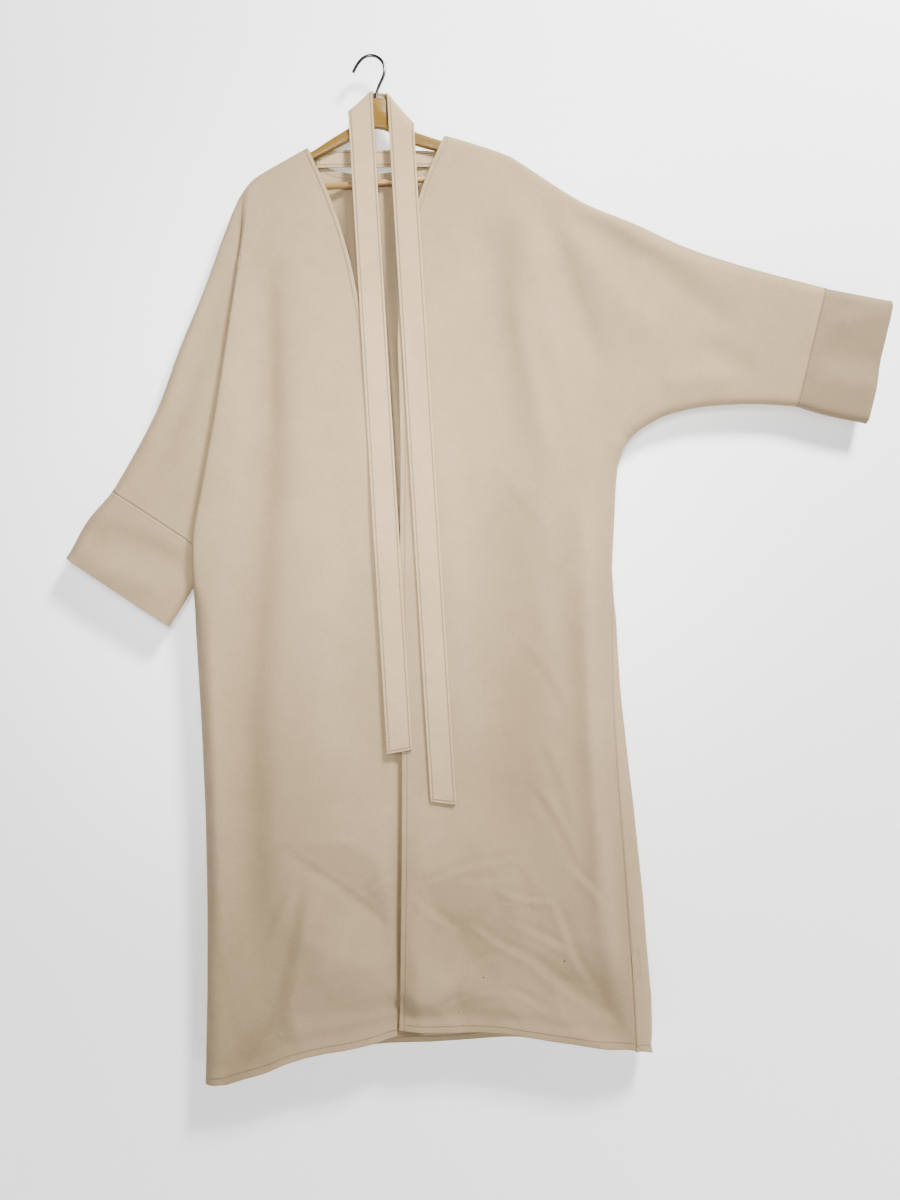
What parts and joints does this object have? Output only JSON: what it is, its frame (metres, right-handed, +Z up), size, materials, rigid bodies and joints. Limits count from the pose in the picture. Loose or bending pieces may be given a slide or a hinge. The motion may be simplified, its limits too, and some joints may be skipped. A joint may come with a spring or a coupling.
{
  "type": "abaya cloak on a coat hanger",
  "caption": "Wide open-front felt cloak with draped batwing sleeves and long cuffs, hung with its loose tie belt on a wooden coat hanger, one sleeve raised.",
  "frame": {"origin": "inside of the hook's top, where it hangs on a nail or rod", "axes": "+Z up along the hanging cloth, -Y the garment's front, +X the raised left sleeve's side (the wearer's left)"},
  "size_m": [1.3472, 0.077, 1.6277],
  "materials": {
    "felted_cloth": "matt, brushed oatmeal felt",
    "varnished_wood": "clear gloss varnish on yellow-brown wood",
    "pale_wood": "satin",
    "chrome_wire": "bright plated"
  },
  "bodies": {
    "root": {"front_right": "felted_cloth", "front_left": "felted_cloth", "back": "felted_cloth", "cuff_right": "felted_cloth", "cuff_left": "felted_cloth", "belt": "felted_cloth", "neck_strap": "felted_cloth", "hanger_wood": "varnished_wood", "hanger_bar": "pale_wood", "hanger_hook": "chrome_wire"}
  },
  "joints": []
}
